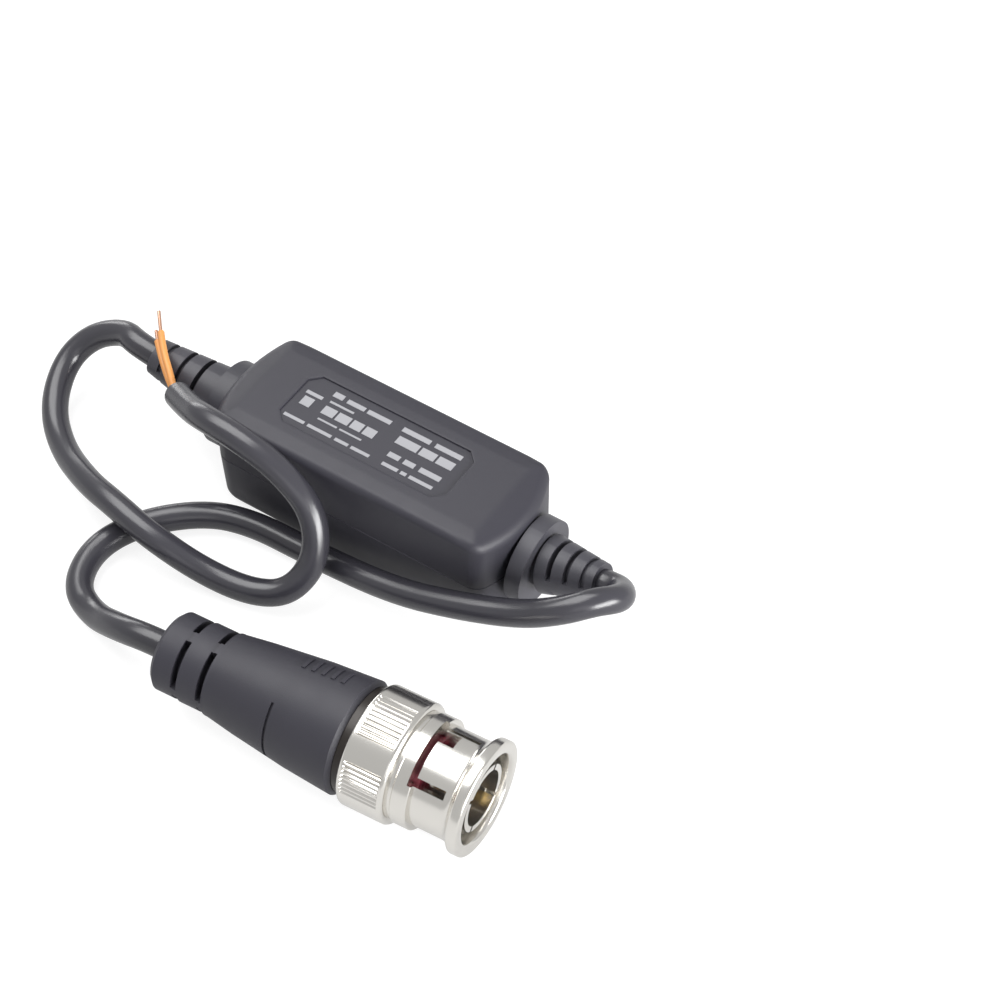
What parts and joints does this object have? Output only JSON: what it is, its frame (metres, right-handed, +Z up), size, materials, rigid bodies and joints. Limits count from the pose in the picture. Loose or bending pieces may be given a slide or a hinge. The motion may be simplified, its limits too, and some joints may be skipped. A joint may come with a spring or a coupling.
{
  "type": "cctv video balun",
  "caption": "Small dark plastic box with a short coaxial lead to a bayonet plug at one end and a short pair lead with bare wire ends at the other.",
  "frame": {"origin": "centre of the housing's bottom face, which rests on the table", "axes": "+X along the housing towards the coaxial lead, +Z up, the plug lies in front on the -Y side"},
  "size_m": [0.0832, 0.0461, 0.0184],
  "materials": {
    "housing_plastic": "satin, fine grain",
    "relief_plastic": "satin, moulded",
    "lead_jacket": "satin, extruded",
    "boot_plastic": "satin, moulded",
    "nickel": "bright nickel plating",
    "washer_steel": "stamped spring steel",
    "collar_bronze": "dark plated",
    "gasket_rubber": "crimson silicone",
    "insulator_plastic": "satin",
    "gold": "bright gold plating",
    "wire_orange": "satin, extruded",
    "copper": "bare strands",
    "board": "solder mask",
    "ferrite": "matte",
    "enamel_wire": "enamelled",
    "arrester": "glazed, metal caps",
    "capacitor_body": "dipped"
  },
  "bodies": {
    "balun": {"housing_lower": "housing_plastic", "housing_upper": "housing_plastic", "strain_relief_coax": "relief_plastic", "strain_relief_pair": "relief_plastic", "circuit_board": "board", "transformer_core": "ferrite", "transformer_winding": "enamel_wire", "surge_arrester": "arrester", "capacitor": "capacitor_body", "coax_tail": "lead_jacket", "pair_tail": "lead_jacket", "coax_lead": "lead_jacket", "pair_lead": "lead_jacket", "wire_a": "wire_orange", "wire_a_strands": "copper", "wire_b": "wire_orange", "wire_b_strands": "copper", "plug_boot": "boot_plastic", "plug_body": "nickel", "rear_collar": "collar_bronze", "insulator": "insulator_plastic", "centre_pin": "gold", "gasket": "gasket_rubber", "wave_washer": "washer_steel"},
    "nut_slider": {"thrust_washer": "washer_steel"},
    "nut": {"coupling_nut": "nickel", "retaining_ring": "washer_steel"}
  },
  "joints": [
    {"name": "nut_slide", "type": "slide", "parent": "balun", "child": "nut_slider", "axis": [0.9976, 0.0688, 0], "range_m": [0, 0.0008], "stiffness_N_per_m": 2000, "deforming": ["wave_washer"]},
    {"name": "nut_turn", "type": "hinge", "parent": "nut_slider", "child": "nut", "pos_m": [0.0349, -0.03011, 0.00725], "axis": [0.9976, 0.0688, 0], "continuous": true}
  ]
}
